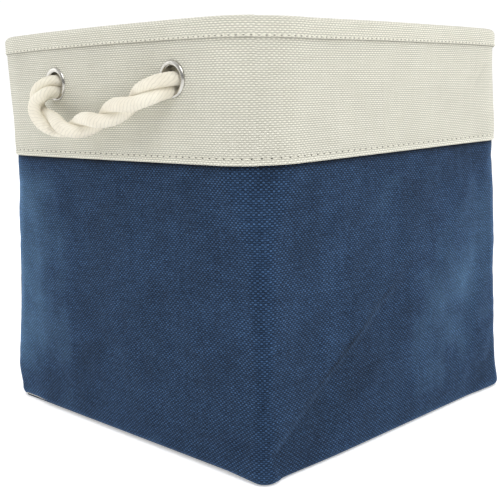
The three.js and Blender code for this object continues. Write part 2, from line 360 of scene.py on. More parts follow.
def woven_shade(s, gaps, turn, warp_gap, weft_gap, sunk):
    """Painted shade of a weave: darker in the gaps beside its warp and weft threads, and where the warp is on
    top.
    """
    beside_warp = s.less(s.times(gaps[0], warp_gap))
    beside_weft = s.less(s.times(gaps[1], weft_gap))
    return s.times(beside_warp, beside_weft, s.math("MULTIPLY_ADD", turn, sunk, 1 - sunk))


def thread_colour(s, threads, turn, spread, dark, light):
    """A slowly changing colour along each thread, so that slubs run along warp and weft."""
    u, v, _ = s.split(s.uv)
    column, row = threads
    warp = s.noise(s.join(s.times(column, 7.31), s.times(v, SLUB_RATE)), 1, 1)
    weft = s.noise(s.join(s.times(row, 5.17), s.times(u, SLUB_RATE), 9.0), 1, 1)
    tone = s.math("MULTIPLY_ADD", s.math("SUBTRACT", weft, warp), turn, warp)
    return s.blend(s.range(tone, 0.5 - spread, 0.5 + spread, 0, 1), dark, light)


def cream_material():
    s = Surface("cream_canvas")
    height, gaps, turn, threads = weave(s, CREAM_PITCH, 0.45)
    colour = thread_colour(s, threads, turn, 0.2, linear(221, 219, 204), linear(230, 228, 214))
    # Painted shade: small dark dashes where the warp is on top.
    dash = s.times(s.less(gaps[0]), s.less(gaps[1]), s.less(turn))
    woven = s.times(woven_shade(s, gaps, turn, 0.14, 0.64, 0), s.less(s.times(dash, 0.26)))
    cloud = s.range(s.noise(s.place, 9, 3), 0.3, 0.7, 0.98, 1.02)
    # Painted sheen towards the edges, and painted shade and highlights from the tone attribute.
    shade = s.times(woven, cloud, s.tone, s.painted_edge_sheen(0.35, 0.6, 1.06))
    normal = s.bump(height, 0.25, 0.7)
    return s.finish(s.multiply(colour, shade), 0.88, normal, Sheen_Weight=0.05, Specular_IOR_Level=0.25)


def navy_material():
    s = Surface("navy_weave")
    height, gaps, turn, threads = weave(s, NAVY_PITCH, 0.7)
    colour = thread_colour(s, threads, turn, 0.25, linear(45, 69, 101), linear(59, 87, 123))
    woven = woven_shade(s, gaps, turn, 0.3, 0.88, 0.58)
    fleck = s.range(s.random(s.join(*threads, 3.0)), 0, 1, 0.8, 1.25)
    patch = s.range(s.noise(s.place, 26, 4, 0.6), 0.3, 0.7, 0.9, 1.1)
    # Painted sheen: lighter where the cloth is seen edge on, with painted shade and highlights from the tone
    # attribute.
    shade = s.times(woven, fleck, patch, s.tone, s.painted_edge_sheen(0.45, 0.85, 1.7))
    # Painted sheen: where the tone is lightest the colour turns towards a pale teal.
    painted_sheen = s.range(s.tone, 1.1, 1.9, 0, 0.3)
    colour = s.blend(painted_sheen, s.multiply(colour, shade), linear(106, 142, 166))
    normal = s.bump(height, 0.25, 0.7)
    return s.finish(
        colour,
        0.9,
        normal,
        Sheen_Weight=0.12,
        Sheen_Roughness=0.25,
        Sheen_Tint=linear(150, 205, 255),
        Specular_IOR_Level=0.15,
    )


def lining_material():
    s = Surface("lining_cloth")
    height, gaps, turn, threads = weave(s, LINING_PITCH, 0.6)
    colour = thread_colour(s, threads, turn, 0.2, linear(212, 208, 195), linear(226, 223, 212))
    shade = woven_shade(s, gaps, turn, 0.2, 0.2, 0.05)
    under = s.bump(s.noise(s.place, 18, 4, 0.55), 1.5, 0.5)
    normal = s.bump(height, 0.1, 0.6, under)
    return s.finish(s.multiply(colour, shade), 0.8, normal, Sheen_Weight=0.1, Specular_IOR_Level=0.35)


def rope_material():
    """Cotton yarns: the UV map holds the place across the yarns and along them."""
    s = Surface("cotton_rope")
    across, along, _ = s.split(s.uv)
    fibre = s.noise(s.join(s.times(across, 9), s.times(along, 0.9)), 700, 3, 0.6)
    waver = s.math("SUBTRACT", s.noise(s.place, 260, 2), 0.5)
    yarn = s.math("FRACT", s.math("MULTIPLY_ADD", waver, 0.9, s.times(across, 1 / (YARN_UV * MM))))
    # Painted shade in the grooves between the yarns.
    yarn_groove_shade = s.math("POWER", s.math("ABSOLUTE", s.math("MULTIPLY_ADD", yarn, 2, -1)), 6)
    cloud = s.noise(s.place, 60, 3)
    colour = s.blend(s.range(cloud, 0.3, 0.7, 0, 1), linear(226, 219, 202), linear(237, 232, 216))
    shade = s.times(s.less(s.times(yarn_groove_shade, 0.2)), s.range(fibre, 0.3, 0.7, 0.94, 1.03))
    normal = s.bump(fibre, 0.25, 0.6)
    return s.finish(
        s.multiply(colour, shade),
        0.9,
        normal,
        Sheen_Weight=0.1,
        Sheen_Roughness=0.5,
        Specular_IOR_Level=0.2,
    )


def thread_material(name, light, dark):
    s = Surface(name, uv=False)
    fibre = s.noise(s.scaled(s.place, (1, 1, 3)), 900, 2)
    colour = s.blend(s.range(fibre, 0.3, 0.7, 0, 1), dark, light)
    return s.finish(colour, 0.7, s.bump(fibre, 0.1, 0.5), Sheen_Weight=0.2)


def metal_material(name, colour, worn, roughness, scratch):
    s = Surface(name, uv=False)
    wear = s.noise(s.place, 140, 5, 0.65)
    fine = s.noise(s.scaled(s.place, (1, 9, 1)), 900, 3, 0.7)
    tone = s.blend(s.range(wear, 0.45, 0.75, 0, 1), colour, worn)
    gloss = s.range(fine, 0.3, 0.7, roughness * 0.8, roughness * 1.4)
    return s.finish(tone, gloss, s.bump(fine, scratch, 0.3), Metallic=1.0)


def board_material():
    s = Surface("grey_board", uv=False)
    pulp = s.noise(s.place, 400, 5, 0.7)
    cloud = s.noise(s.place, 30, 3)
    colour = s.blend(pulp, linear(150, 124, 92), linear(178, 152, 118))
    shade = s.range(cloud, 0.3, 0.7, 0.94, 1.04)
    return s.finish(s.multiply(colour, shade), 0.92, s.bump(pulp, 0.15, 0.5), Specular_IOR_Level=0.2)


def floor_material():
    s = Surface("pale_floor", uv=False)
    cloud = s.noise(s.place, 3, 2)
    colour = s.blend(cloud, (0.93, 0.93, 0.93, 1), (0.95, 0.95, 0.95, 1))
    return s.finish(colour, 0.9, None, Emission_Color=(1, 1, 1, 1), Emission_Strength=FLOOR_GLOW)


# ---------------------------------------------------------------- the bin's rounded square


def draw_in(z):
    """How far the walls are rolled in at height z, along the floor."""
    below = np.maximum(BOTTOM_ROLL - z, 0)
    return BOTTOM_ROLL - np.sqrt(np.maximum(BOTTOM_ROLL**2 - below**2, 0))


def section(z, offset):
    """Half width and corner radius of the rounded square at height z, offset out from the wall."""
    up = np.clip((z - BAND_BOTTOM) / (HEIGHT - BAND_BOTTOM), 0, 1)
    low = np.clip(z / BAND_BOTTOM, 0, 1)
    corner = CORNER_AT_FLOOR + (CORNER_AT_BAND - CORNER_AT_FLOOR) * low
    corner = corner + (CORNER_AT_RIM - CORNER_AT_BAND) * up
    half = WALL_HALF + RIM_FLARE * up - draw_in(z) + offset
    return half, np.maximum(corner - draw_in(z) + offset, 1)


def rounded_square(run, half, corner):
    """Place and outward direction at `run`, 0 to 4 round a rounded square from its front left corner.

    It also gives the side, and how far across that side the place is.
    """
    side = np.floor(run).astype(int) % 4
    along = run - np.floor(run)
    flat = half - corner
    into = np.maximum(CORNER_SHARE - along, along - 1 + CORNER_SHARE) / CORNER_SHARE
    angle = np.maximum(into, 0) * math.pi / 4 * np.sign(along - 0.5)
    straight = flat * (2 * (along - CORNER_SHARE) / (1 - 2 * CORNER_SHARE) - 1)
    across = np.where(into > 0, np.sign(along - 0.5) * flat + corner * np.sin(angle), straight)
    out = np.where(into > 0, flat + corner * np.cos(angle), half)
    turn = side * math.pi / 2
    x = across * np.cos(turn) + out * np.sin(turn)
    y = across * np.sin(turn) - out * np.cos(turn)
    facing = turn - math.pi / 2 + angle
    return x, y, np.cos(facing), np.sin(facing), side, across


def on_loop(run, z, offset):
    """The rounded square of the cloth at height z, folded more sharply at the near corner than elsewhere."""
    half, corner = section(z, offset)
    near = np.floor(run + 0.5).astype(int) % 4 == 1
    sharper = NEAR_CORNER_FOLD * between(z, 10, 60, 140, 192)
    return rounded_square(run, half, corner * np.where(near, 1 - sharper, 1))


def loop_runs(flat_steps, corner_steps):
    """Column positions round the loop, with their own spacing on the flats and in the corners."""
    lead = np.arange(corner_steps) / corner_steps * CORNER_SHARE
    middle = CORNER_SHARE + np.arange(flat_steps) / flat_steps * (1 - 2 * CORNER_SHARE)
    tail = 1 - CORNER_SHARE + np.arange(corner_steps) / corner_steps * CORNER_SHARE
    return np.concatenate([side + np.concatenate([lead, middle, tail]) for side in range(4)])


def arc_lengths(runs, z, offset):
    """Distance round the loop to each column, in mm, with the whole way round at the end."""
    closed = np.append(runs, 4.0)
    x, y, *_ = on_loop(closed, np.full(len(closed), float(z)), offset)
    return np.concatenate([[0], np.cumsum(np.hypot(np.diff(x), np.diff(y)))])


def row_lengths(runs, heights):
    """The same for each row of a sheet, counted from the near corner: the threads keep their true spacing."""
    closed = np.append(runs, 4.0)
    shape = (len(heights), len(closed))
    x, y, *_ = on_loop(np.broadcast_to(closed, shape), np.broadcast_to(heights[:, None], shape), 0)
    steps = np.hypot(np.diff(x, axis=1), np.diff(y, axis=1))
    lengths = np.concatenate([np.zeros((len(heights), 1)), np.cumsum(steps, axis=1)], 1)
    return lengths - lengths[:, len(runs) // 4, None]


def waves(u, v, seed, length, count=7):
    """Smooth seeded noise of about -1 to 1 whose bumps are about `length` apart."""
    dice = np.random.default_rng(seed)
    total = np.zeros(np.broadcast(u, v).shape)
    for _ in range(count):
        heading = dice.uniform(0, math.pi)
        pitch = length * dice.uniform(0.7, 1.5)
        phase = dice.uniform(0, 2 * math.pi)
        way = u * math.cos(heading) + v * math.sin(heading)
        total = total + np.sin(2 * math.pi * way / pitch + phase)
    return total / math.sqrt(count) / 1.4


def cloth_waves(side, across, z, seed, length):
    """The same on the bin's cloth, with its own waves on each side."""
    return waves(across + 300 * side, z, seed, length)


def bell(distance, width):
    return np.exp(-((distance / width) ** 2))


def smooth(value, low, high):
    t = np.clip((value - low) / (high - low), 0, 1)
    return t * t * (3 - 2 * t)


def between(value, *steps):
    """0, rising to 1 over the first two steps and falling back to 0 over the last two."""
    return smooth(value, *steps[:2]) * (1 - smooth(value, *steps[2:]))


def along_points(value, points):
    """A line through (value, result) points."""
    return np.interp(value, *zip(*points))


def from_line(u, v, start, end):
    """Signed distance from the line start to end, and the place along it as a share of its length."""
    du, dv = end[0] - start[0], end[1] - start[1]
    size = math.hypot(du, dv)
    side = ((u - start[0]) * -dv + (v - start[1]) * du) / size
    share = ((u - start[0]) * du + (v - start[1]) * dv) / size**2
    return side, share


# ---------------------------------------------------------------- mesh making


def make_mesh(name, points, faces, uvs, material, body, slot_name, tone=None):
    """A smooth mesh that rides on a body. Points and uvs are in mm, with a uv for each face corner."""
    mesh = bpy.data.meshes.new(name)
    mesh.from_pydata((np.asarray(points) * MM).tolist(), [], faces)
    layer = mesh.uv_layers.new(name=UV_NAME)
    layer.data.foreach_set("uv", (np.asarray(uvs, float) * MM).ravel())
    shades = mesh.attributes.new(TONE_NAME, "FLOAT", "POINT")
    plain = np.ones(len(points))
    shades.data.foreach_set("value", plain if tone is None else np.asarray(tone, float))
    mesh.shade_smooth()
    mesh.materials.append(material)
    obj = bpy.data.objects.new(name, mesh)
    bpy.context.scene.collection.objects.link(obj)
    if body:
        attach(obj, body)
    return obj


def tube_faces(start, rings, sides):
    """Faces of a closed tube whose rings of points follow each other from `start`."""
    end = start + (rings - 1) * sides
    faces = [list(range(start, start + sides))[::-1], list(range(end, end + sides))]
    for ring in range(start, end, sides):
        for m in range(sides):
            n = (m + 1) % sides
            faces.append([ring + m, ring + n, ring + sides + n, ring + sides + m])
    return faces


def grid_mesh(name, grid, u, v, looks, wrap_rows=False, keep=None, caps=False, tone=None):
    """A mesh from rows of points that close into rings.

    looks is the material, the body and the slot, which is not used. u and v hold one more entry than the grid
    along each way that wraps, keep(centres) picks the faces that stay, and caps close the first ring and the
    last.
    """
    rows, columns = grid.shape[:2]
    i, j = np.meshgrid(np.arange(rows if wrap_rows else rows - 1), np.arange(columns), indexing="ij")
    i, j = i.ravel(), j.ravel()
    corners = np.stack([i, i, i + 1, i + 1], 1), np.stack([j, j + 1, j + 1, j], 1)
    faces = (corners[0] % rows) * columns + corners[1] % columns
    points = grid.reshape(-1, 3)
    tones = None if tone is None else tone.ravel()
    shape = (len(v), np.shape(u)[-1])
    v = v if np.ndim(v) == 2 else v[:, None]
    flat = np.stack([np.broadcast_to(u, shape), np.broadcast_to(v, shape)], -1)
    uvs = flat[corners]
    if keep:
        kept = keep(points[faces].mean(1))
        used, numbers = np.unique(faces[kept], return_inverse=True)
        faces, uvs, points = numbers.reshape(-1, 4), uvs[kept], points[used]
        tones = None if tones is None else tones[used]
    faces, uvs = faces.tolist(), uvs.reshape(-1, 2)
    if caps:
        faces += [list(range(columns))[::-1], list(range((rows - 1) * columns, rows * columns))]
        uvs = np.concatenate([uvs, flat[0, :columns][::-1], flat[-1, :columns]])
    return make_mesh(name, points, faces, uvs, *looks, tones)


def loop_sheet(name, profile, bulge, columns, looks, keep=None, closed=False, lift=None, tone=None):
    """Cloth that goes once round the bin, from a profile of (offset, z) pairs.

    Each of bulge, lift and tone is a function of (side, across, z): how far the cloth stands out, how far it
    is raised, and how much lighter or darker it is.
    """
    runs = loop_runs(*columns)
    profile = np.asarray(profile, float)
    offsets, heights = profile[:, :1], profile[:, 1:]
    shape = (len(profile), len(runs))
    z = np.broadcast_to(heights, shape)
    x, y, nx, ny, side, across = on_loop(np.broadcast_to(runs, shape), z, offsets)
    push = bulge(side, across, z)
    raised = z + lift(side, across, z) if lift else z
    grid = np.stack([x + nx * push, y + ny * push, raised], -1)
    lengths = arc_lengths(runs, float(heights.mean()), 0) if closed else row_lengths(runs, profile[:, 1])
    trace = np.concatenate([profile, profile[:1]]) if closed else profile
    v = np.concatenate([[0], np.cumsum(np.hypot(*np.diff(trace, axis=0).T))]) + profile[0, 1]
    shades = tone(side, across, z) if tone else None
    return grid_mesh(name, grid, lengths, v, looks, wrap_rows=closed, keep=keep, tone=shades)


def clear_of_eyelets(centres):
    """True for faces that leave the eyelets' holes open."""
    way = -np.sign(centres[:, 1])
    near_x = np.min([np.abs(centres[:, 0] * way - x) for x in EYELETS_X], axis=0)
    on_wall = np.abs(centres[:, 1]) > WALL_HALF - 15
    return ~(on_wall & (np.hypot(near_x, centres[:, 2] - EYELET_Z) < EYELET_HOLE))


# ---------------------------------------------------------------- shape of the cloth


# Where a side panel folds when the bin is put away, as (across, z), and how deep the fold's ledge is.
CREASE = ((-136, 20), (-2, 111))
CREASE_DEPTH = 2.6

# Soft upright folds of a side panel: their line from floor to band as (z, across), and how far they come out.
RIDGE_LINE = [(0, 40), (45, 42), (85, 49), (120, 60), (156, 72), (190, 80)]
RIDGE_OUT = 0.9
HOLLOW_LINE = [(0, 80), (60, 84), (120, 100), (190, 112)]
HOLLOW_OUT = -1.1

# How far the rim is off level, as (run, lift), the band's lower edge at the back right corner, and the front
# panel's lower edge as (across, lift).
RIM_LINE = [
    (0, 0.4), (0.25, 1.2), (0.5, 1.2), (0.75, 0.5), (1.0, -0.7), (1.15, -1.4), (1.4, -0.6),
    (1.75, -0.2), (2.0, -0.5), (2.3, 0.2), (2.6, 0.5), (3.0, -0.3), (3.4, 0.3), (4.0, 0.4),
]
BAND_EDGE_RISE = 4.2
FRONT_EDGE_LIFT = [(-138, 1.9), (-120, 1.9), (0, 1.4), (96, 1.7), (128, 0)]

# Painted highlights on a side panel, as (across, z): a slanting one and one near the band.
HIGHLIGHT_MIDDLE = (82, 92)
HIGHLIGHT_SLANT = math.radians(51.5)
HIGHLIGHT_TOP = (-20, 165)


def share_of_side(across):
    return np.clip(across / (2 * WALL_HALF) + 0.5, 0, 1)


def band_edge_rise(side, across):
    """How much the band's lower edge, which was sewn on a little out of level, is up at a place."""
    share = share_of_side(across)
    return BAND_EDGE_RISE * np.where(side == RIGHT, share, np.where(side == BACK, 1 - share, 0))


def across_panel(side, across):
    """The place across a side panel, counted towards the back on both, and which places are on one."""
    return np.where(side == RIGHT, across, -across), (side == RIGHT) | (side == LEFT)


def rim_lift(side, across, z):
    """The rim isn't quite level: it sags at the near corner and stands a little higher over the handle."""
    return along_points(side + share_of_side(across), RIM_LINE) * smooth(z, 225, 268)


def band_lift(side, across, z):
    """The rim's line above, and the rise of the band's lower edge below."""
    return rim_lift(side, across, z) + band_edge_rise(side, across) * (1 - smooth(z, 196, 262))


def corner_share(side, across, corner):
    """1 at a corner of the bin and 0 well away from it. The front left corner is 0, and they count round."""
    before, after = (corner - 1) % 4, corner % 4
    near_end = np.where(side == before, across, np.where(side == after, -across, -1e3))
    return smooth(near_end, 88, 124)


def far_corner(side, across, z):
    """The back right corner stands out a little from its foot up to the lower half of the band."""
    return 1.6 * between(z, 40, 150, 196, 232) * corner_share(side, across, 2)


def panel_folds(flat_side, z):
    """The ledge along a side panel's diagonal crease, and two soft upright folds."""
    gap, share = from_line(flat_side, z, *CREASE)
    ledge = -CREASE_DEPTH * between(-gap, -2, 8, 10, 60) * between(share, -0.02, 0.03, 0.82, 1.08)
    ridge = RIDGE_OUT * bell(flat_side - along_points(z, RIDGE_LINE), 17) * between(z, 20, 60, 165, 190)
    hollow = HOLLOW_OUT * bell(flat_side - along_points(z, HOLLOW_LINE), 13) * between(z, 15, 50, 150, 185)
    return ledge + ridge + hollow


def corner_shapes(side, across, z):
    """The front left corner is drawn in at its foot and waist, and the back right one stands out."""
    front_left, back_right = corner_share(side, across, 0), corner_share(side, across, 2)
    foot = (1 - smooth(z, 2, 26)) * (1.6 * back_right - 2.2 * front_left)
    return foot - 0.9 * between(z, 25, 80, 130, 190) * front_left + far_corner(side, across, z)


def wall_bulge(side, across, z):
    """How the navy cloth stands out from its true shape, clear of the lining and of the band's lower edge."""
    place = (side, across, z)
    slack = 0.7 * cloth_waves(*place, 11, 95) + 0.3 * cloth_waves(*place, 12, 38)
    push = slack * between(z, 3, 30, 180, 196) + 0.12 * cloth_waves(*place, 13, 14) * smooth(z, 3, 20)
    flat_side, creased = across_panel(side, across)
    push = push + np.where(creased, panel_folds(flat_side, z), 0) + corner_shapes(*place)
    push = np.maximum(push, -1.8 - 2.8 * smooth(z, 10, 45))
    return push - 0.5 * smooth(z, 195, 203)


def near_corner_folds(side, across, z):
    """Small upright and level folds in the cloth beside the near corner."""
    on_front = np.where(side == FRONT, across - WALL_HALF, np.where(side == RIGHT, across + WALL_HALF, 1e3))
    upright = -0.7 * bell(on_front - 4 + 3 * np.sin(z / 24), 4.5) * between(z, 50, 75, 120, 140)
    level = 0.45 * bell(z - 150 - 0.05 * on_front, 3.2) - 0.4 * bell(z - 143, 3)
    level = level + 0.35 * bell(z - 128, 3.5) - 0.3 * bell(z - 121, 3)
    dimple = -0.9 * np.exp(-(((on_front + 22) / 8) ** 2) - ((z - 22) / 5) ** 2)
    return upright + level * bell(on_front + 12, 18) + dimple


def panel_tone(flat_side, z):
    """Painted shade in a dark line along a side panel's crease and on the cloth below it, and painted
    highlights on the panel.
    """
    gap, along = from_line(flat_side, z, *CREASE)
    # Painted shade along the crease and below it.
    line = 0.5 * bell(gap + 0.9, 2.6) * smooth(along, 0.05, 0.5) + 0.16 * between(-gap, 0, 5, 6, 60)
    # Painted highlights on the panel.
    right, up = flat_side - HIGHLIGHT_MIDDLE[0], z - HIGHLIGHT_MIDDLE[1]
    over = right * math.cos(HIGHLIGHT_SLANT) + up * math.sin(HIGHLIGHT_SLANT)
    beside = up * math.cos(HIGHLIGHT_SLANT) - right * math.sin(HIGHLIGHT_SLANT) - 6
    highlight = 0.4 * bell(over, 84) * bell(beside, 42) * (1 + 0.3 * waves(flat_side, z, 62, 30))
    highlight = highlight + 0.14 * bell(flat_side - HIGHLIGHT_TOP[0], 24) * bell(z - HIGHLIGHT_TOP[1], 22)
    return highlight - line * between(along, -0.02, 0.04, 0.75, 1.08)


def front_edge_sheen(across, z):
    """Painted sheen: the front panel is drawn lighter towards its left edge."""
    edge = 0.35 * smooth(-across, 30, 100) + 0.42 * smooth(-across, 84, 132)
    return edge * (1 + 0.22 * waves(across, z, 65, 34)) * smooth(z, 5, 60) * (1 - 0.6 * smooth(z, 168, 192))


def navy_tone(side, across, z):
    """Painted shadow under the band, painted shade and highlights on the side and front panels, a rubbed
    lower edge with painted shade along the floor line, and clouds.
    """
    below = np.maximum(BAND_BOTTOM + 0.4 + band_edge_rise(side, across) - z, 0)
    tone = 1 - 0.86 * bell(below, 3) - 0.12 * bell(below, 12)
    flat_side, creased = across_panel(side, across)
    tone = tone + np.where(creased, panel_tone(flat_side, z), 0)
    tone = tone + np.where(side == FRONT, front_edge_sheen(across, z), 0)
    # Lighter just above the foot, where the cloth is rubbed; painted shade along the floor line.
    tone = tone + 0.1 * bell(z - 4, 5) - 0.3 * bell(z, 1.2)
    cloud = 0.05 * cloth_waves(side, across, z, 61, 22) + 0.07 * cloth_waves(side, across, z, 64, 48)
    return np.clip(tone + cloud, 0.12, 2)


def band_tone(side, across, z):
    """Painted highlight along the band's turned lower edge, painted shade along the stitch row, and faint
    clouds.
    """
    edge_highlight_and_stitch_shade = 0.14 * bell(z - BAND_BOTTOM - 0.6, 2.2) - 0.06 * bell(z - BAND_STITCH_Z - 0.2, 1.4)
    return 1 + edge_highlight_and_stitch_shade + 0.02 * cloth_waves(side, across, z, 63, 40)


def binding_tone(side, across, z):
    """Painted shade in the corner where the binding meets the band, on a binding drawn a little lighter
    overall as painted light.
    """
    return 1.05 - 0.15 * bell(z - BINDING_BOTTOM, 0.9)


def navy_lift(side, across, z):
    """The front panel's lower edge rides a little above the floor."""
    return np.where(side == FRONT, along_points(across, FRONT_EDGE_LIFT), 0) * (1 - smooth(z, 0, 60))


def navy_bulge(side, across, z):
    return wall_bulge(side, across, z) + near_corner_folds(side, across, z)


def band_bulge(side, across, z):
    """The cream band is firmer: long shallow waves, a short crease, and a rim a little out of square."""
    push = 0.35 * cloth_waves(side, across, z, 21, 120) + 0.08 * cloth_waves(side, across, z, 22, 30)
    gap, share = from_line(across, z, (101, 256), (84, 237))
    crease = -0.5 * bell(gap, 1.6) * between(share, -0.1, 0.2, 0.8, 1.1)
    rim = smooth(z, 215, 272)
    push = push + rim * (1.9 * corner_share(side, across, 0) - 1.4 * corner_share(side, across, 2))
    return push + np.where(side == RIGHT, crease, 0)


def facing_bulge(side, across, z):
    """The facing inside follows the band less closely."""
    return band_bulge(side, across, z) * 0.7 + far_corner(side, across, z)


def pulled_stitches(side, across, z):
    """The band, with its lower edge drawn in along the row of stitches."""
    edge = band_bulge(side, across, z) * smooth(z, 196, 208)
    return edge + far_corner(side, across, z) - 0.35 * bell(z - BAND_STITCH_Z - 0.2, 1.3)


def binding_bulge(side, across, z):
    """The binding follows the band and puckers a little between its stitches."""
    puckers = 0.1 * np.sin(2 * math.pi * (across + 40 * side) / HEM_STITCH_PITCH)
    puckers = puckers * bell(z - HEM_STITCH_Z - 0.4, 2)
    return band_bulge(side, across, np.minimum(z, 270)) * 0.8 + puckers


def lining_bulge(side, across, z):
    """The lining hangs slack and stays inside the navy cloth."""
    slack = 0.8 * (cloth_waves(side, across, z, 31, 60) - 1) * between(z, 4, 30, 175, 198)
    return np.minimum(slack, navy_bulge(side, across, z) + 1.3)


def spaced(start, end, step):
    count = max(2, int(round(abs(end - start) / step)) + 1)
    return np.linspace(start, end, count)


def rows_at(offset, heights):
    return [(offset, z) for z in heights]


def half_round(centre, radius_out, radius_up, start, end, count):
    """Points of an ellipse in the plane of a profile, angles in degrees from straight out."""
    angles = np.radians(np.linspace(start, end, count))
    return [(centre[0] + radius_out * math.cos(a), centre[1] + radius_up * math.sin(a)) for a in angles]


def navy_walls(material):
    """The four navy panels as one sheet, with closer rows where it rolls under along the floor."""
    rolled = [0.25, 0.5, 0.9, 1.5, 2.3, 3.3, 4.3]
    profile = rows_at(0, rolled + spaced(5.4, 206, 1.65).tolist())
    looks = (material, "lower_bin", "navy_cloth")
    walls = loop_sheet("navy_walls", profile, navy_bulge, (136, 14), looks, lift=navy_lift, tone=navy_tone)
    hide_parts(*[side + "_wall_panel" for side in ("front", "right", "back", "left")])
    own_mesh(walls)


def cream_band(material):
    """The band, turned under along its lower edge."""
    fold = half_round((0.85, 195.0), 0.75, 1.3, 160, 360, 11)
    outside = rows_at(BAND_OFFSET + 0.3, spaced(196.2, 277.5, 1.7))
    profile = [(0.35, 206), (0.3, 200)] + fold + outside
    looks = (material, "rim", "cream_cloth")
    shape = dict(keep=clear_of_eyelets, lift=band_lift, tone=band_tone)
    band = loop_sheet("cream_band", profile, pulled_stitches, (96, 14), looks, **shape)
    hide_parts("upper_band")


def inner_facing(material):
    """The band's cloth inside the rim, turned under along its lower edge."""
    inside = rows_at(FACING_OFFSET, spaced(277.5, 200.5, 1.7))
    fold = half_round((FACING_OFFSET + 0.5, 199.2), 0.5, 1.1, 180, 360, 8)
    profile = inside + fold + [(FACING_OFFSET + 1.0, 206)]
    looks = (material, "rim", "cream_cloth")
    shape = dict(keep=clear_of_eyelets, lift=rim_lift)
    facing = loop_sheet("facing_cloth", profile, facing_bulge, (96, 14), looks, **shape)
    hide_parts("inner_facing")


def rim_binding(material):
    """The folded strip over the rim, with the wire inside it."""
    outer, inner, top = BINDING_OUTER, BINDING_INNER, 276.1
    middle, reach = (outer + inner) / 2, (outer - inner) / 2
    outer_leg = rows_at(outer, spaced(BINDING_BOTTOM + 0.9, top, 1.4))
    crest = half_round((middle, top), reach, HEIGHT - top, 0, 180, 15)[1:-1]
    inner_leg = rows_at(inner, spaced(top, BINDING_BOTTOM + 0.9, 1.4))
    inside = [
        (inner + 0.5, BINDING_BOTTOM),
        (inner + 1.0, BINDING_BOTTOM + 0.8),
        (inner + 1.0, top),
        (middle, HEIGHT - 1.3),
        (outer - 1.0, top),
        (outer - 1.0, BINDING_BOTTOM + 0.8),
        (outer - 0.5, BINDING_BOTTOM),
    ]
    profile = outer_leg + crest + inner_leg + inside
    looks = (material, "rim", "cream_cloth")
    shape = dict(closed=True, lift=rim_lift, tone=binding_tone)
    binding = loop_sheet("rim_binding_cloth", profile, binding_bulge, (150, 16), looks, **shape)
    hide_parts("rim_binding")


def wall_lining(material):
    """The lining of the walls, down to below the top of the base lining."""
    profile = rows_at(LINING_OFFSET, spaced(204, 1.75, 3.5))
    looks = (material, "lower_bin", "lining_cloth")
    lining = loop_sheet("lining_cloth", profile, lining_bulge, (60, 8), looks)
    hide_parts("wall_lining")
    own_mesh(lining)


def pillow(name, half, corner, bottom, top, edge, dome, looks):
    """A flat cloth-covered plate with rounded edges. Its rings run under it, round its rim and over it."""
    angles = np.radians(np.linspace(-90, 90, 9))
    middle, rise = (bottom + top) / 2, (top - bottom) / 2
    rim = [(edge * (math.cos(a) - 1), middle + rise * math.sin(a)) for a in angles]
    inwards = np.array([4, 12, 25, 45, 70, 95, 118, half - 4.0])
    under = [(-edge - d, bottom) for d in inwards[::-1]]
    over = [(-edge - d, top + dome * smooth(d, 0, 80)) for d in inwards]
    insets, heights = np.array(under + rim + over).T[:, :, None]
    steps = 24
    runs = (np.arange(4 * steps) + 0.5) / steps
    size = np.maximum(half + insets, 0.5)
    radius = np.clip(corner + insets, 0.4, size)
    x, y, *_ = rounded_square(runs, size, radius)
    z = heights + 0.25 * dome * waves(x, y, 41, 70) * (heights > middle)
    grid = np.stack([x, y, z], -1)
    flat_u = np.concatenate([x, x[:, :1]], 1)
    flat_v = np.concatenate([y, y[:, :1]], 1) + 300 * (z[:, :1] < middle)
    return grid_mesh(name, grid, flat_u, flat_v, looks, caps=True)


# ---------------------------------------------------------------- stitches


def stitch_row(name, pitch, offset, z, bulge, lift, materials, seed):
    """A row of stitches round the rim: short threads that dip into the cloth, with dark discs between them as
    painted shade in the needle holes.
    """
    dice = np.random.default_rng(seed)
    runs = np.linspace(0, 4, 4001)
    lengths = arc_lengths(runs[:-1], z, offset)
    count = int(lengths[-1] / pitch)
    spacing = lengths[-1] / count
    shares = np.linspace(-1, 1, 7)
    ring = np.arange(8) * math.pi / 4
    stitch, holes = ([], []), ([], [])

    def laid(at, height, stand_out):
        """Points on the cloth at distances round the rim, stood out from it."""
        run = np.interp(at % lengths[-1], lengths, runs) % 4
        x, y, nx, ny, side, across = on_loop(run, height, offset)
        out = bulge(side, across, height)[..., None] + stand_out
        raised = (height + lift(side, across, height))[..., None]
        return x[..., None] + nx[..., None] * out, y[..., None] + ny[..., None] * out, raised

    for k in range(count):
        middle = (k + 0.5) * spacing
        length = pitch * STITCH_SHARE * dice.uniform(0.93, 1.07)
        height = z + dice.uniform(-0.1, 0.1) * shares
        radius = (STITCH_RADIUS * np.sqrt(np.maximum(1 - shares**6, 0.05)))[:, None]
        dip = STITCH_RADIUS * (0.45 - 1.5 * shares**4)[:, None]
        x, y, up = laid(middle + shares * length / 2, height, dip + 0.8 * radius * np.cos(ring))
        stitch[1].extend(tube_faces(len(stitch[0]), len(shares), len(ring)))
        stitch[0].extend(np.stack([x, y, up + radius * np.sin(ring)], -1).reshape(-1, 3).tolist())

        # Painted shade: a dark disc lying on the cloth at each needle hole.
        gap_half = pitch * (1 - STITCH_SHARE) * dice.uniform(0.34, 0.5)
        around = middle + spacing / 2 + gap_half * np.cos(ring)
        x, y, up = laid(around, z + 0.42 * np.sin(ring), 0.06)
        holes[1].append(list(range(len(holes[0]), len(holes[0]) + 8)))
        holes[0].extend(np.concatenate([x, y, up], 1).tolist())
    for part, (points, faces), material in zip((name, name + "_hole_shade"), (stitch, holes), materials):
        plain = np.zeros((sum(len(f) for f in faces), 2))
        make_mesh(part, points, faces, plain, material, "rim", "cream_cloth")


# ---------------------------------------------------------------- rope


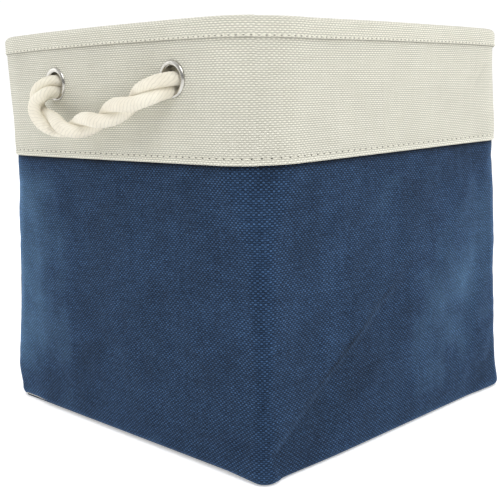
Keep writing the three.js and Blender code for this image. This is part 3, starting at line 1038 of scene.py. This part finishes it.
def smooth_path(points, step):
    """A centripetal Catmull-Rom curve through the points, sampled every `step` mm."""
    p = np.asarray(points, float)
    p = np.concatenate([[2 * p[0] - p[1]], p, [2 * p[-1] - p[-2]]])
    samples = []
    for a, b, c, d in zip(p[:-3], p[1:-2], p[2:-1], p[3:]):
        t1 = np.linalg.norm(b - a) ** 0.5
        t2 = t1 + np.linalg.norm(c - b) ** 0.5
        t3 = t2 + np.linalg.norm(d - c) ** 0.5
        t = np.linspace(t1, t2, 40)[:-1, None]
        ab = (t1 - t) / t1 * a + t / t1 * b
        bc = (t2 - t) / (t2 - t1) * b + (t - t1) / (t2 - t1) * c
        cd = (t3 - t) / (t3 - t2) * c + (t - t2) / (t3 - t2) * d
        abc = (t2 - t) / t2 * ab + t / t2 * bc
        bcd = (t3 - t) / (t3 - t1) * bc + (t - t1) / (t3 - t1) * cd
        samples.append((t2 - t) / (t2 - t1) * abc + (t - t1) / (t2 - t1) * bcd)
    samples = np.concatenate(samples + [p[-2:-1]])
    lengths = np.concatenate([[0], np.cumsum(np.linalg.norm(np.diff(samples, axis=0), axis=1))])
    at = np.linspace(0, lengths[-1], int(lengths[-1] / step) + 1)
    path = np.stack([np.interp(at, lengths, samples[:, k]) for k in range(3)], 1)
    return path, at


def carried_frames(path):
    """Two directions across the path at each point, carried along it without twist."""
    tangents = np.gradient(path, axis=0)
    tangents /= np.linalg.norm(tangents, axis=1)[:, None]
    side = np.cross(tangents[0], [0.1, 0.2, 1])
    side /= np.linalg.norm(side)
    sides = []
    for tangent in tangents:
        side = side - tangent * (side @ tangent)
        side = side / np.linalg.norm(side)
        sides.append(side)
    sides = np.array(sides)
    return tangents, sides, np.cross(tangents, sides)


STRAND_MIDDLE = 3.95  # from the rope's middle to each strand's
STRAND_DEPTH = 4.15  # half sizes of a strand, away from the rope's middle and across
STRAND_WIDTH = 5.05
YARNS = 10
YARN_RATE = 3.0  # how fast the yarns turn along a strand, in radians a mm
SEAM_ANGLE = 157  # degrees of each strand's outline that show, either way from its outer side
STRAND_STEPS = 38


def rope_mesh(name, points, thickness, turn, settle, material, body):
    """Two twisted strands as one skin.

    thickness(at, total) is the size against the full rope, turn is the strands' angle at the start
    and settle is how much twist is missing near the end.
    """
    path, at = smooth_path(points, 0.45)
    _, sides, ups = carried_frames(path)
    scale = thickness(at, at[-1])[:, None]
    twist = (turn + 2 * math.pi * at / ROPE_LAY)[:, None]
    psi = np.radians(np.linspace(-SEAM_ANGLE, SEAM_ANGLE, STRAND_STEPS))[None, :]
    rings, across_yarn, along_yarn = [], [], []
    for strand in range(2):
        angle = twist + math.pi * strand - settle * smooth(at, at[-1] - 48, at[-1] - 10)[:, None]
        phase = YARNS * psi + YARN_RATE * at[:, None] + 1.7 * strand
        ridge = np.abs(np.cos(phase / 2)) ** 0.7 - 0.6
        slack = 0.12 * waves(at[:, None], psi * 5, 50 + strand, 17)
        grow = 0.24 * ridge + slack
        x = STRAND_MIDDLE + (STRAND_DEPTH + grow) * np.cos(psi)
        y = (STRAND_WIDTH + grow) * np.sin(psi)
        u = scale * (x * np.cos(angle) - y * np.sin(angle))
        v = scale * (x * np.sin(angle) + y * np.cos(angle))
        rings.append(path[:, None] + u[..., None] * sides[:, None] + v[..., None] * ups[:, None])
        across_yarn.append(phase / (2 * math.pi) * YARN_UV)
        along_yarn.append(at[:, None] * 0.4 + 4.05 * psi)
    grid = np.concatenate(rings, 1)
    u = np.concatenate(across_yarn + [across_yarn[0][:, :1]], 1)
    v = np.concatenate(along_yarn + [along_yarn[0][:, :1]], 1)
    return grid_mesh(name, grid, u, v, (material, body, "cotton_rope"), caps=True), path


HANDLE_ROUTE = [
    (-54.7, -127.0, 244.6),
    (-54.7, -134.0, 244.2),
    (-54.7, -141.0, 243.4),
    (-54.9, -147.0, 242.6),
    (-56.0, -151.8, 240.4),
    (-57.6, -154.6, 236.2),
    (-58.2, -155.8, 231.6),
    (-56.8, -156.0, 227.2),
    (-52.8, -156.0, 223.2),
    (-45.4, -155.8, 219.6),
    (-35.0, -155.6, 216.8),
    (-22.0, -155.6, 215.6),
    (-8.0, -155.2, 217.0),
    (8.0, -155.0, 220.4),
    (24.0, -155.0, 224.6),
    (40.0, -155.0, 229.8),
    (51.0, -155.0, 234.0),
    (60.0, -154.6, 237.2),
    (66.2, -151.8, 239.6),
    (69.0, -146.4, 241.2),
    (69.3, -140.0, 242.6),
    (69.3, -134.0, 243.6),
    (69.3, -127.0, 244.6),
]
KNOT_ROUTE = [
    (0, -14, 0),
    (0, -4, 0.5),
    (-1, 3, 2),
    (-2, 7, 6),
    (1, 6.5, 10.3),
    (7.5, 5, 7),
    (10.2, 3.5, 0),
    (7.2, 2, -7.2),
    (0, 0.5, -10.2),
    (-7.2, -1, -7.2),
    (-10.2, -2.5, 0),
    (-7.2, -4, 7.2),
    (0, -5, 10.2),
    (7.4, -4.6, 7.2),
    (10.4, -3.4, 0),
    (9.8, -1, -8),
    (8.8, 0.2, -15),
    (8.4, 0.6, -21),
]


def handle_thickness(at, total):
    """The rope is pressed together where it passes through the eyelets."""
    reach = np.minimum(at, total - at)
    return 0.86 + 0.14 * smooth(reach, 6, 17)


def knot_thickness(at, total):
    return 0.74 - 0.09 * smooth(at, total - 6, total)


def on_back(points):
    return [(-x, -y, z) for x, y, z in points]


def rope_handle(name, node, points, material):
    handle, path = rope_mesh(name, points, handle_thickness, 0.28, 1.0, material, None)
    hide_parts(node)
    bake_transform(handle)


def rope_knot(name, node, x, way, material):
    """A knot inside the bin. way is 1 on the front wall and -1 on the back."""
    points = [(x + way * px, way * (KNOT_Y + py), EYELET_Z + pz) for px, py, pz in KNOT_ROUTE]
    knot, _ = rope_mesh(name, points, knot_thickness, 0.3, 0, material, "rim")
    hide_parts(node)
    return points[-1]


def fibre_mesh(name, starts, headings, lengths, radius, droop, seed, looks):
    """Loose fibres: thin three-sided tubes that curl and droop."""
    dice = np.random.default_rng(seed)
    steps, sides = 7, 3
    along = np.asarray(headings) / np.linalg.norm(headings, axis=1)[:, None]
    side = np.cross(along, [0.3, 0.1, 1.0])
    side /= np.linalg.norm(side, axis=1)[:, None]
    up = np.cross(along, side)
    curl = dice.uniform(-0.9, 0.9, (len(along), 2))
    bend = curl[:, :1] * side + curl[:, 1:] * up - np.array([0, 0, droop])
    share = np.linspace(0, 1, steps)[:, None]
    reach = np.asarray(lengths)[:, None, None]
    centres = np.asarray(starts)[:, None] + reach * (share * along[:, None] + share**2 / 2 * bend[:, None])
    ring = np.arange(sides)[:, None] * 2 * math.pi / sides
    spokes = side[:, None] * np.cos(ring) + up[:, None] * np.sin(ring)
    size = radius * (1 - 0.6 * share)[..., None]
    points = (centres[:, :, None] + size * spokes[:, None]).reshape(-1, 3)
    faces = []
    for start in range(0, len(points), steps * sides):
        faces += tube_faces(start, steps, sides)
    plain = np.zeros((sum(len(f) for f in faces), 2))
    return make_mesh(name, points, faces, plain, *looks)


def frayed_end(name, end, seed, material):
    """The unravelled tuft at the end of a knot's tail."""
    dice = np.random.default_rng(seed)
    count = 150
    angles = dice.uniform(0, 2 * math.pi, count)
    reach = 4.6 * np.sqrt(dice.uniform(0, 1, count))
    spread = np.stack([np.cos(angles) * reach, np.sin(angles) * reach, np.zeros(count)], 1)
    starts = np.asarray(end) + spread + np.array([0, 0, 1.5])
    headings = spread * 0.06 + np.array([0, 0, -1.0]) + dice.normal(0, 0.12, (count, 3))
    lengths = dice.uniform(2.2, 5, count)
    fibre_mesh(name, starts, headings, lengths, 0.2, 0.1, seed, (material, "rim", "cotton_rope"))


def handle_fuzz(name, points, way, seed, material, body):
    """Stray fibres along the handle, most of them on its first bend, and none towards the wall."""
    dice = np.random.default_rng(seed)
    path, at = smooth_path(points, 0.5)
    tangents, sides, ups = carried_frames(path)
    total = at[-1]
    stretches = [(40, 66, 100), (92, 100, 16), (42, total - 42, 70)]
    places = np.concatenate([dice.uniform(*stretch) for stretch in stretches])
    starts, headings = [], []
    for place in places:
        k = int(place / total * (len(path) - 1))
        angle = dice.uniform(0, 2 * math.pi)
        out = sides[k] * math.cos(angle) + ups[k] * math.sin(angle)
        if out[1] * way > 0.45:
            out = -out
        starts.append(path[k] + out * 5.2)
        headings.append(out + tangents[k] * dice.normal(0, 0.9))
    lengths = dice.uniform(1.8, 4.6, len(places))
    fibre_mesh(name, starts, headings, lengths, 0.1, 0.25, seed, (material, body, "cotton_rope"))


# ---------------------------------------------------------------- eyelets


def turned(name, profile, x, y, z, lean, way, looks):
    """A ring turned about the Y axis from a closed (radius, out) profile. way is -1 on the back wall."""
    steps = 96
    angles = np.arange(steps) / steps * 2 * math.pi
    profile = np.asarray(profile, float)
    radius, out = profile[:, :1], profile[:, 1:]
    px = radius * np.cos(angles)
    pz = radius * np.sin(angles)
    py = np.broadcast_to(-out, px.shape)
    py, pz = py * math.cos(lean) - pz * math.sin(lean), py * math.sin(lean) + pz * math.cos(lean)
    grid = np.stack([way * (x + px), way * (y + py), z + pz], -1)
    u = np.append(angles, 2 * math.pi) * 10
    v = np.arange(len(profile) + 1.0)
    return grid_mesh(name, grid, u, v, looks, wrap_rows=True)


def eyelet(prefix, x, way, material):
    """The polished ring outside and the washer inside, leaning back with the wall."""
    half, _ = section(EYELET_Z, BAND_OFFSET)
    lean = math.atan(RIM_FLARE / (HEIGHT - BAND_BOTTOM))
    crown = half_round((9.75, 0.35), 1.85, 1.75, 0, 180, 22)
    lip = half_round((7.9, -7.0), 0.5, 0.5, 180, 360, 8)
    profile = crown + [(7.4, -1), (7.4, -4)] + lip + [(8.1, -3), (8.1, 0.1), (8.6, 0.25)]
    place = (x, -float(half), EYELET_Z, lean, way)
    looks = (material, "rim", "eyelet_nickel")
    front = turned(prefix + "_eyelet_ring", profile[::-1], *place, looks)
    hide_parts(prefix + "_eyelet")
    disc = half_round((9.95, -6.5), 1.55, 0.4, 0, 360, 25)[:-1]
    washer = turned(prefix + "_washer_ring", disc[::-1], *place, looks)
    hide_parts(prefix + "_eyelet_washer")


# ---------------------------------------------------------------- the whole bin


def paint(node, material):
    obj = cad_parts[node]
    obj.data.materials.clear()
    obj.data.materials.append(material)
    obj.data.shade_smooth()


def build():
    cream, navy, lining = cream_material(), navy_material(), lining_material()
    cotton = rope_material()
    thread = thread_material("cream_thread", linear(226, 224, 210), linear(200, 197, 182))
    # Painted shade: dark discs for the needle holes, paler on the hem rows.
    hole_shade = thread_material("needle_hole_shade", linear(96, 94, 84), linear(70, 68, 60))
    hem_shade = thread_material("hem_needle_hole_shade", linear(142, 140, 128), linear(118, 116, 105))
    nickel = metal_material("polished_nickel", linear(192, 190, 184), linear(150, 147, 140), 0.2, 0.03)
    steel = metal_material("rim_steel", linear(150, 150, 148), linear(110, 106, 100), 0.35, 0.05)

    for wall, way, first, second in (("front", 1, "left", "right"), ("back", -1, "right", "left")):
        route = HANDLE_ROUTE if way > 0 else on_back(HANDLE_ROUTE)
        body = wall + "_rope"
        rope_handle(wall + "_rope_handle", wall + "_handle", route, cotton)
        handle_fuzz(wall + "_rope_fibres", route, way, 61, cotton, body)
        for x, name in zip(EYELETS_X, (first, second)):
            prefix = wall + "_" + name
            tail = rope_knot(prefix + "_knot", prefix + "_rope_knot", way * x, way, cotton)
            frayed_end(prefix + "_knot_fray", tail, 70 + len(prefix), cotton)
            eyelet(prefix, x, way, nickel)

    navy_looks, lining_looks = (navy, "lower_bin", "navy_cloth"), (lining, "lower_bin", "lining_cloth")
    base_cloth = pillow("base_cloth", 133.8, 5, 0.0, 1.6, 1.2, 0, navy_looks)
    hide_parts("base_panel")
    base_lining = pillow("base_lining_cloth", 134.4, 6, 1.9, 2.6, 0.4, 0, lining_looks)
    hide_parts("base_lining")
    navy_walls(navy)
    wall_lining(lining)
    cream_band(cream)
    inner_facing(cream)
    rim_binding(cream)
    board_looks = (lining, "base_board", "lining_cloth")
    cover = pillow("base_board_cloth", 133.3, 30, 2.9, 6.5, 1.8, 0.5, board_looks)
    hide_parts("base_board_cover")

    band_row = (BAND_OFFSET + 0.3, BAND_STITCH_Z, pulled_stitches, band_lift)
    stitch_row("band_stitches", BAND_STITCH_PITCH, *band_row, (thread, hole_shade), 1)
    for seed, name, offset in ((2, "hem_stitches", BINDING_OUTER), (3, "inner_hem_stitches", BINDING_INNER)):
        hem_row = (offset, HEM_STITCH_Z, binding_bulge, rim_lift)
        stitch_row(name, HEM_STITCH_PITCH, *hem_row, (thread, hem_shade), seed)

    paint("rim_wire", steel)
    paint("rim_wire_sleeve", steel)
    paint("base_board_core", board_material())


def add_floor():
    drop = (0, 0, -0.2 * MM)
    bpy.ops.mesh.primitive_grid_add(x_subdivisions=8, y_subdivisions=8, size=FLOOR_SIZE, location=drop)
    floor = bpy.context.object
    floor.name = "floor"
    floor.data.materials.append(floor_material())


add_camera()
build()
set_view()
add_world()
add_floor()
add_light("key", (1.2, -0.9, 2.0), (0.05, -0.05, 0.15), 1.3, 26)
add_light("left_fill", (-1.9, -1.0, 0.9), (0, 0, 0.15), 1.5, 7)
add_light("right_fill", (1.3, 1.8, 0.9), (0, 0, 0.15), 1.5, 9)
